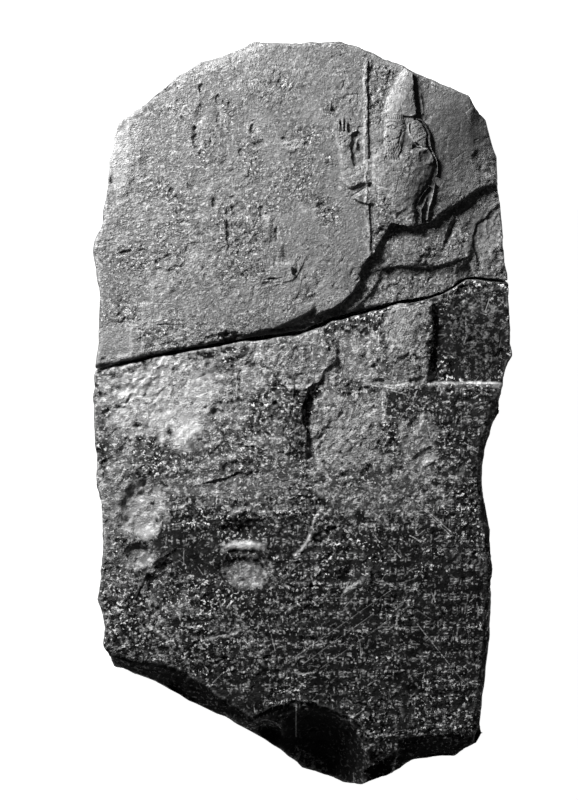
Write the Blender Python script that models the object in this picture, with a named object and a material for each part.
# A dark stone stele with a rounded top, broken right across into two pieces.
# It lies on its back: +Z points out of the carved face and +Y to the rounded top.
import math
import random

import bmesh
import bpy
from mathutils import Matrix, Vector
from mathutils.geometry import intersect_point_line

# Overall sizes, in metres
HEIGHT = 0.470
WIDTH = 0.266
THICKNESS = 0.110

# Carving, in metres
FIELD_DEPTH = 0.0035  # the picture field lies this far below the inscribed face
FIGURE_RISE = 0.0031  # standing figure above the field
ARM_RISE = 0.0024  # raised hand and forearm
STAFF_RISE = 0.0016
STAFF_WIDTH = 0.0022
RIBBON_RISE = 0.0020
RIBBON_WIDTH = 0.0030
TOWER_RISE = 0.0014
RELIEF_SLOPE = 0.0011  # how far the sides of a raised shape lean in
HEAD_SLOPE = 0.0006
RELIEF_ROOT = 0.0015  # how far a raised shape reaches into the stone
SHOULDER_RISE = 0.65  # share of a raised shape's height at which its side starts to lean in more
SHOULDER_LEAN = 0.4  # share of the lean reached there
STRIP_LEAN = 0.25  # lean of a narrow strip's sides, as a share of its width

# Edges and break, in metres
CRACK_GAP = 0.0010
CRACK_CRISP = 0.75  # edges along the break are worn less than the rest by this share
CRACK_LEAN = 0.006  # the break runs this far towards the top between face and back
FACE_EDGE = 0.0024  # worn edge around the face
FACE_EDGE_ROOT = 0.2  # share of that wear where the edge begins
BACK_EDGE = 0.0060  # rougher edge around the back
BACK_EDGE_ROOT = 0.25
SIDE_HOLLOW = 0.0014  # the side draws in this far at half its height
HOLLOW_LEVELS = (0.28, 0.52, 0.78)  # shares of the thickness where the hollow starts, is deepest and ends
WEAR_LEAST = 0.8  # each corner of an outline is worn by a random share between these
WEAR_MOST = 1.2
CRISP_REACH = 0.0195  # edges nearer to the break than this are crisper
SIDE_CORNER_COUNT = 2  # corners each way that tell which way an outline faces
EDGE_PITCH = 0.0065  # spacing of the knocks along an outline
EDGE_KNOCK = 0.0011  # depth of those knocks
CUT_CLEAR = 0.006  # cutters reach this far past what they cut
CUT_FLARE = 0.35  # walls of a flake scar lean out by this share of their depth
BOWL_SHARE = 2.6  # a bowl scar is cut by an ellipsoid this many times as deep
BOWL_FINENESS = 3
FLATNESS = 0.000001  # a face bent more than this is split into triangles
RISE_STEP = 0.00005  # keeps the tops of joined shapes from lying in one plane
SEED = 7

# Stone
STONE_COLOUR = (0.075, 0.073, 0.070, 1)
STONE_ROUGHNESS = 0.6

# Points are drawn in millimetres on a stone of this size, from the middle of its outline
DRAWN_WIDTH = 266.0
DRAWN_HEIGHT = 470.0
DRAWN_THICKNESS = 110.0

# The break, left to right
CRACK = [(-131, 26.5), (-108, 32), (-89, 36.5), (-36, 46), (1.5, 51), (18.5, 58.5), (44, 64.5),
         (61, 69.5), (80.5, 72.5), (94.5, 78.5), (103, 84), (109.5, 84.5), (130.2, 82)]

# The rest of each outline, anticlockwise from one end of the break to the other
UPPER_EDGE = [(130, 86.5), (126.5, 115), (123, 162), (116, 185), (106, 201), (94, 206.5), (64, 220),
              (34, 232.5), (24, 235), (-32, 235), (-46, 228), (-65, 222), (-80, 213.5), (-95, 200),
              (-116, 185), (-119, 177.5), (-122.5, 160), (-128, 117), (-132, 109), (-133, 102),
              (-128.5, 71), (-131, 29.5)]
LOWER_EDGE = [(-132, 23), (-133, 9.5), (-131.5, -20), (-130.5, -45), (-126.5, -80), (-130, -118),
              (-126, -130), (-126.5, -147), (-120, -161), (-95, -169), (-72, -182), (-42, -196.5),
              (-19, -210), (0, -225), (26, -234), (37.5, -235), (56.5, -228), (71, -219), (96, -217),
              (109.5, -209), (113, -203), (115, -172), (119, -141), (121, -99), (119, -73),
              (113.5, -42), (117, -20), (124, 0), (130, 31), (133, 36.5), (131.5, 52), (130.5, 78)]

# The ledge under the picture field
LEDGE_Y = 18.5
# The field is cut past the outline and past the break
FIELD_REACH = 260.0

# The stepped tower: the middle line, its top, then half width and height of each stage
TOWER_X = -47.0
TOWER_TOP = 124.0
TOWER_FOOT_PITCH = 8
TOWER_STAGES = [(27, 16.5), (35, 12.5), (42, 12), (49, 13.5), (54.5, 13.5), (62, 20), (69.5, 19.5)]

# The standing figure, facing the tower
CAP = [(50.5, 188), (75, 187), (75.5, 196), (73.5, 204), (68.5, 212.5), (64, 213), (55, 203.5)]
HEAD = [(53, 190.5), (52.2, 184), (51.8, 178), (50.8, 174.5), (52.2, 172.2), (51.6, 168.5), (52, 162),
        (55, 158.5), (61, 158), (66, 166), (70, 172), (69, 190.5)]
BUN = [(66.5, 178), (68, 170), (73, 169), (77, 177), (75, 184), (70, 186)]
RIBBON = [(71.5, 185.5), (76.5, 179), (79, 170), (83, 161.5), (84.5, 154)]
TORSO = [(44.5, 150), (48, 140), (52.5, 128), (56, 112), (77, 112), (79.5, 124), (82.5, 138),
         (85, 150), (84.5, 157), (80, 165), (74, 168.5), (66, 166), (58, 160), (52, 168), (44.5, 166)]
HAND = [(22, 159), (30, 162), (34.5, 166.5), (34.5, 172), (30, 173), (29.5, 182.5), (21.5, 182)]
FOREARM = [(26, 152), (34, 149), (46, 150), (46, 162), (34, 158.5), (26, 161)]
ROBE = [(45, 33), (50, 24), (58, 17), (79, 17), (82.5, 43.5), (83.5, 50.5), (82, 80), (79, 120),
        (56, 120), (46, 75)]
STAFF = [(41, 222), (41, 160), (42, 132), (43.5, 80), (43.8, 30)]

# Flake scars with straight walls: points with the depth below the face at each, all in millimetres
LIFT = -0.4  # a scar runs out at the face where its floor rises just above it
UPPER_SCARS = {
    "corner_scar": [(56, 119, 3.5), (48, 103, 4.5), (36, 82, 5), (27, 74.5, 4.5), (17, 69.5, 3.5),
                    (1, 60.5, 2), (-13, 54.5, 1), (-24, 51, LIFT), (-24, 40, 1.5), (1.5, 44, 3),
                    (19, 50, 5), (61, 60, 6), (103, 76, 6), (142, 74, 8), (142, 147, 7), (125, 145, 3.5),
                    (113, 141, 4), (98, 131, 4.5), (88, 126, 3), (82, 119.5, 3.5), (68, 116.5, 2.5)],
    "corner_drop": [(43, 98, 5.5), (37, 84, 8), (28, 76, 7.5), (17, 68, 6), (8, 61, 4), (10, 46, 6),
                    (19, 50, 11), (61, 60, 14), (103, 74, 12), (108, 86, 10), (103, 99, 7), (95, 95, 5.5),
                    (88, 92.5, 5), (52, 92.5, 5)],
    "left_slope": [(-103, 191, LIFT), (-106, 160, LIFT), (-112, 128, LIFT), (-140, 128, 3),
                   (-140, 165, 4), (-124, 192, 4)],
    "right_slope": [(107, 199, LIFT), (104, 175, LIFT), (107, 151, LIFT), (139, 152, 7.5), (138, 175, 9),
                    (124, 203, 8)],
    "top_left_bevel": [(-106, 189, LIFT), (-125, 189, 10), (-103, 206, 12), (-84, 222, 11),
                       (-68, 226, 5), (-72, 216, LIFT), (-84, 203.5, LIFT)],
    "top_chip": [(-45, 220.5, LIFT), (-50, 232, 5), (-38, 242, 7), (-22, 242, 5), (-21, 231, LIFT),
                 (-33, 224, LIFT)],
    "top_right_bevel": [(22, 232, LIFT), (22, 242, 5), (62, 232, 6), (104, 214, 7), (107, 201, LIFT),
                        (94, 204.5, LIFT), (64, 218, LIFT)],
}
LOWER_SCARS = {
    "left_scar": [(-142, -34, 4.5), (-98, -31.5, 1.2), (-67, -33.5, 1), (-49, -28, 1.5),
                  (-36, -19.5, 1.8), (-13, -15, 1.5), (-7, -1, 2.2), (-6, 9.5, 3.8), (-25, 31.5, 4.6),
                  (-31, 56, 4.4), (-65, 56, 4.4), (-142, 42, 4.8)],
    "middle_scar": [(8, 19.5, 4.2), (1.5, 4, 5.6), (2, -7, 5.6), (4.5, -11.5, 5), (3.5, -24.5, 3.6),
                    (0.5, -43.5, 1.4), (15, -37.5, 0.8), (50, -36, LIFT), (58, -10.5, LIFT),
                    (50, 15, 0.8), (34, 19.5, 3.6)],
    "left_break": [(-123, -151, LIFT), (-140, -147, 16), (-132, -168, 26), (-98, -181, 26),
                   (-74, -193, 26), (-40, -208, 26), (-22, -212, 22), (-31, -194, LIFT), (-55, -181, LIFT),
                   (-69, -174, LIFT), (-74, -166.5, LIFT), (-83, -159, LIFT), (-112, -154, LIFT)],
    "right_break": [(64, -204, LIFT), (54, -236, 18), (74, -228, 16), (98, -226, 16), (116, -216, 14),
                    (109, -201, LIFT), (77, -202, LIFT)],
    "right_slope_high": [(126, 31, LIFT), (123, 11, LIFT), (117, -2, LIFT), (114, -16, LIFT),
                         (111, -32, LIFT), (122, -34, 14), (128, -10, 14), (142, 30, 14)],
    "right_slope_low": [(111, -30, LIFT), (109, -44, LIFT), (114, -73, LIFT), (116, -99, LIFT),
                        (114, -141, LIFT), (110, -172, LIFT), (108, -203, LIFT), (120, -206, 14),
                        (122, -172, 14), (126, -141, 14), (128, -99, 14), (126, -73, 14), (121, -40, 14)],
}

# Bowl scars: x, y, half length, half width and depth in millimetres, then the turn in degrees
UPPER_BOWLS = {
    "right_bowl": (118, 112, 15, 11, 13, 95),
    "gully": (94, 116, 12, 3.5, 8, 70),
    "dark_pocket": (100, 98, 12, 6, 10, 95),
    "shoulder_pit": (77, 162, 4.5, 4, 1.3, 60),
    "left_gouge": (-64, 189, 7, 4, 2, 80),
    "wrist_gouge": (-27, 170, 5, 3, 1.6, 20),
}
LOWER_BOWLS = {
    "left_shell": (-86, 14, 22, 16, 7.6, 50),
    "ridge_shell": (-52, 10, 17, 12, 6, 80),
    "left_hollow_high": (-102, -61, 20, 14, 4, 85),
    "left_hollow_middle": (-104, -90, 11, 10, 3, 0),
    "left_hollow_low": (-87, -112, 20, 14, 5, 80),
    "edge_notch": (-126, -31, 8, 5, 6, 160),
    "centre_hollow": (-36, -72, 16, 9, 4.4, 5),
    "centre_dish": (-37, -100, 18, 10, 3.2, 175),
    "small_hollow": (14, -79, 8, 7, 2.2, 0),
    "dark_hollow": (28, -104, 8, 6, 2.8, 100),
    "bottom_scar": (9, -233, 37, 49, 27, 8),
    "bottom_step": (-20, -204, 14, 10, 16, 150),
}

randomness = random.Random(SEED)


def on_stone(x, y):
    """Metres on the stone for a point drawn in millimetres."""
    return Vector((x * WIDTH / DRAWN_WIDTH, y * HEIGHT / DRAWN_HEIGHT))


def inward(points, i, reach=1):
    """The direction from point i into an anticlockwise outline, judged over some points each way."""
    along = points[(i + reach) % len(points)] - points[i - reach]
    return Vector((-along.y, along.x)).normalized()


def anticlockwise(points):
    """The same drawn points, turned round if they run clockwise."""
    pairs = zip(points, points[1:] + points[:1])
    area = sum(a[0] * b[1] - b[0] * a[1] for a, b in pairs)
    return points if area > 0 else points[::-1]


def knocked(points):
    """An outline with more points between its corners, knocked in a little."""
    rough = []
    for i, start in enumerate(points):
        run = points[(i + 1) % len(points)] - start
        side = Vector((-run.y, run.x)).normalized()
        count = max(1, round(run.length / EDGE_PITCH))
        rough.append(start)
        for k in range(1, count):
            rough.append(start + run * (k / count) + side * (EDGE_KNOCK * randomness.random()))
    return rough


def bent(face):
    """Whether a face's corners leave its plane."""
    middle = face.calc_center_median()
    return any(abs((vert.co - middle).dot(face.normal)) > FLATNESS for vert in face.verts)


def loft(name, rings):
    """A closed solid through rings of as many points, bottom ring first."""
    mesh = bpy.data.meshes.new(name)
    bm = bmesh.new()
    loops = [[bm.verts.new(point) for point in ring] for ring in rings]
    count = len(loops[0])
    for low, high in zip(loops, loops[1:]):
        for i in range(count):
            k = (i + 1) % count
            bm.faces.new((low[i], low[k], high[k], high[i]))
    bm.faces.new(reversed(loops[0]))
    bm.faces.new(loops[-1])
    bm.normal_update()
    bmesh.ops.triangulate(bm, faces=[face for face in bm.faces if bent(face)])
    bm.to_mesh(mesh)
    bm.free()
    return place(name, mesh)


def place(name, mesh):
    shape = bpy.data.objects.new(name, mesh)
    bpy.context.scene.collection.objects.link(shape)
    return shape


def off_line(point, start, end):
    """How far a point lies from a straight stretch."""
    spot, share = intersect_point_line(point, start, end)
    return (point - start.lerp(end, min(1.0, max(0.0, share)))).length


def fragment(name, side, edge, top, stone):
    """One half of the stone, from its part of the break and its own edge."""
    crack = [on_stone(x, y) + Vector((0, side * CRACK_GAP / 2)) for x, y in CRACK]
    corners = crack + [on_stone(x, y) for x, y in edge]
    if side < 0:
        corners = [on_stone(x, y) for x, y in edge] + crack[::-1]
    outline = knocked(corners)
    near = [min(off_line(point, start, end) for start, end in zip(crack, crack[1:])) for point in outline]
    wear = [randomness.uniform(WEAR_LEAST, WEAR_MOST) for point in outline]
    start, deepest, end = (THICKNESS * share for share in HOLLOW_LEVELS)
    levels = [
        (0.0, BACK_EDGE),
        (BACK_EDGE, BACK_EDGE * BACK_EDGE_ROOT),
        (start, SIDE_HOLLOW / 2),
        (deepest, SIDE_HOLLOW),
        (end, 0.0),
        (top - FACE_EDGE, FACE_EDGE * FACE_EDGE_ROOT),
        (top, FACE_EDGE),
    ]
    rings = []
    for z, inset in levels:
        ring = []
        for i, point in enumerate(outline):
            broken = max(0.0, 1 - near[i] / CRISP_REACH)
            knock = inset * wear[i] * (1 - CRACK_CRISP * broken)
            lean = CRACK_LEAN * (1 - z / THICKNESS) * broken
            spot = point + inward(outline, i, SIDE_CORNER_COUNT) * knock + Vector((0, lean))
            ring.append((spot.x, spot.y, z))
        rings.append(ring)
    solid = loft(name, rings)
    solid.data.materials.append(stone)
    return solid


def combine(solid, tool, operation):
    """Cuts a shape out of the stone or joins it on, and hides the shape."""
    step = solid.modifiers.new(tool.name, "BOOLEAN")
    step.operation = operation
    step.solver = "EXACT"
    step.object = tool
    tool.hide_render = True
    tool.display_type = "WIRE"


def raised(name, points, rise, slope, ground):
    """A relief shape with leaning sides, rooted in the field."""
    outline = [on_stone(x, y) for x, y in anticlockwise(points)]
    levels = [(-RELIEF_ROOT, 0.0), (rise * SHOULDER_RISE, slope * SHOULDER_LEAN), (rise, slope)]
    rings = []
    for z, inset in levels:
        spots = [point + inward(outline, i) * inset for i, point in enumerate(outline)]
        rings.append([(spot.x, spot.y, ground + z) for spot in spots])
    return loft(name, rings)


def far_side(name, side, ground):
    """All that lies past the break, seen from the upper (1) or lower (-1) piece."""
    margin = Vector((0, side * (CRACK_GAP / 2 + FACE_EDGE)))
    line = [on_stone(x, y) + margin for x, y in CRACK]
    reach = on_stone(FIELD_REACH, FIELD_REACH)
    line = [Vector((-reach.x, line[0].y))] + line + [Vector((reach.x, line[-1].y))]
    line += [Vector((reach.x, -side * reach.y)), Vector((-reach.x, -side * reach.y))]
    if side > 0:
        line.reverse()
    low, high = ground - RELIEF_ROOT - CUT_CLEAR, ground + CUT_CLEAR
    return loft(name, [[(spot.x, spot.y, z) for spot in line] for z in (low, high)])


def strip(points, width):
    """The outline of a band of this width along a line, in drawn millimetres."""
    half = width / 2 * DRAWN_WIDTH / WIDTH
    left, right = [], []
    for i, point in enumerate(points):
        before, after = points[max(0, i - 1)], points[min(len(points) - 1, i + 1)]
        along = (Vector(after) - Vector(before)).normalized()
        side = Vector((-along.y, along.x)) * half
        left.append(tuple(Vector(point) + side))
        right.append(tuple(Vector(point) - side))
    return right + left[::-1]


def tower_outline():
    """The stepped tower, anticlockwise from the left end of its foot."""
    y = TOWER_TOP
    steps = []
    for half, height in TOWER_STAGES:
        steps += [(half, y), (half, y - height)]
        y -= height
    foot, pitch = int(steps[-1][0]), round(TOWER_FOOT_PITCH)
    spread = [(x, y) for x in range(pitch // 2 - foot, foot, pitch)]
    left = [(-half, level) for half, level in steps]
    right = [(half, level) for half, level in reversed(steps)]
    return [(TOWER_X + x, level) for x, level in left[-1:] + spread + right + left[:-1]]


def sunk(depth):
    """Metres for a depth drawn in millimetres."""
    return depth * THICKNESS / DRAWN_THICKNESS


def scar(name, points, face):
    """A flake scar: walls that flare a little and a floor with its own depth at each point."""
    points = anticlockwise(points)
    outline = [on_stone(x, y) for x, y, depth in points]
    floor, rim = [], []
    for i, (spot, point) in enumerate(zip(outline, points)):
        depth = sunk(point[2])
        out = spot - inward(outline, i) * (CUT_FLARE * (depth + CUT_CLEAR))
        floor.append((spot.x, spot.y, face - depth))
        rim.append((out.x, out.y, face + CUT_CLEAR))
    return loft(name, [floor, rim])


def bowl(name, x, y, half_length, half_width, depth, turn, face):
    """A bowl-shaped flake scar, cut by an ellipsoid that dips into the face."""
    dip = sunk(depth)
    tall = BOWL_SHARE * dip
    reach = math.sqrt(1 - (1 - 1 / BOWL_SHARE) ** 2)
    spot = on_stone(x, y)
    long_half, wide_half = (half * WIDTH / DRAWN_WIDTH / reach for half in (half_length, half_width))
    where = Matrix.Translation((spot.x, spot.y, face + tall - dip))
    turned = Matrix.Rotation(math.radians(turn), 4, "Z")
    mesh = bpy.data.meshes.new(name)
    bm = bmesh.new()
    shaped = where @ turned @ Matrix.Diagonal((long_half, wide_half, tall, 1))
    bmesh.ops.create_icosphere(bm, subdivisions=BOWL_FINENESS, radius=1, matrix=shaped)
    bm.to_mesh(mesh)
    bm.free()
    return place(name, mesh)


def carve_relief(solid, side, ground):
    """Joins on the tower, the figure and the staff as far as this piece holds them."""
    past = far_side(solid.name + "_far_side", side, ground)
    past.hide_render = True
    past.display_type = "WIRE"
    staff = strip(STAFF, STAFF_WIDTH)
    shapes = [("tower", tower_outline(), TOWER_RISE, RELIEF_SLOPE, True),
              ("robe", ROBE, FIGURE_RISE, RELIEF_SLOPE, True),
              ("staff", staff, STAFF_RISE, STAFF_WIDTH * STRIP_LEAN, True)]
    if side > 0:
        ribbon = strip(RIBBON, RIBBON_WIDTH)
        shapes += [("torso", TORSO, FIGURE_RISE, RELIEF_SLOPE, False),
                   ("head", HEAD, FIGURE_RISE, HEAD_SLOPE, False),
                   ("cap", CAP, FIGURE_RISE, RELIEF_SLOPE, False),
                   ("bun", BUN, FIGURE_RISE, RELIEF_SLOPE, False),
                   ("hand", HAND, ARM_RISE, RELIEF_SLOPE, False),
                   ("forearm", FOREARM, ARM_RISE, RELIEF_SLOPE, False),
                   ("ribbon", ribbon, RIBBON_RISE, RIBBON_WIDTH * STRIP_LEAN, False)]
    for i, (name, points, rise, slope, crosses) in enumerate(shapes):
        shape = raised(solid.name + "_" + name, points, rise - i * RISE_STEP, slope, ground)
        if crosses:
            combine(shape, past, "DIFFERENCE")
        combine(solid, shape, "UNION")


def damage(solid, scars, bowls, face):
    """Takes the flake scars out of the piece."""
    for name, points in scars.items():
        combine(solid, scar(name, points, face), "DIFFERENCE")
    for name, (x, y, half_length, half_width, depth, turn) in bowls.items():
        combine(solid, bowl(name, x, y, half_length, half_width, depth, turn, face), "DIFFERENCE")


def stone_material():
    stone = bpy.data.materials.new("dark_stone")
    stone.use_nodes = True
    shader = stone.node_tree.nodes["Principled BSDF"]
    shader.inputs["Base Color"].default_value = STONE_COLOUR
    shader.inputs["Roughness"].default_value = STONE_ROUGHNESS
    shader.inputs["Metallic"].default_value = 0
    return stone


def build():
    for old in list(bpy.data.objects):
        bpy.data.objects.remove(old, do_unlink=True)
    ground = THICKNESS - FIELD_DEPTH
    upper = fragment("upper_fragment", 1, UPPER_EDGE, ground, stone_material())
    carve_relief(upper, 1, ground)
    damage(upper, UPPER_SCARS, UPPER_BOWLS, ground)

    lower = fragment("lower_fragment", -1, LOWER_EDGE, THICKNESS, stone_material())
    field = [(-FIELD_REACH, LEDGE_Y), (FIELD_REACH, LEDGE_Y), (FIELD_REACH, FIELD_REACH),
             (-FIELD_REACH, FIELD_REACH)]
    depth = FIELD_DEPTH * DRAWN_THICKNESS / THICKNESS
    combine(lower, scar("field", [(x, y, depth) for x, y in field], THICKNESS), "DIFFERENCE")
    carve_relief(lower, -1, ground)
    damage(lower, LOWER_SCARS, LOWER_BOWLS, THICKNESS)


build()
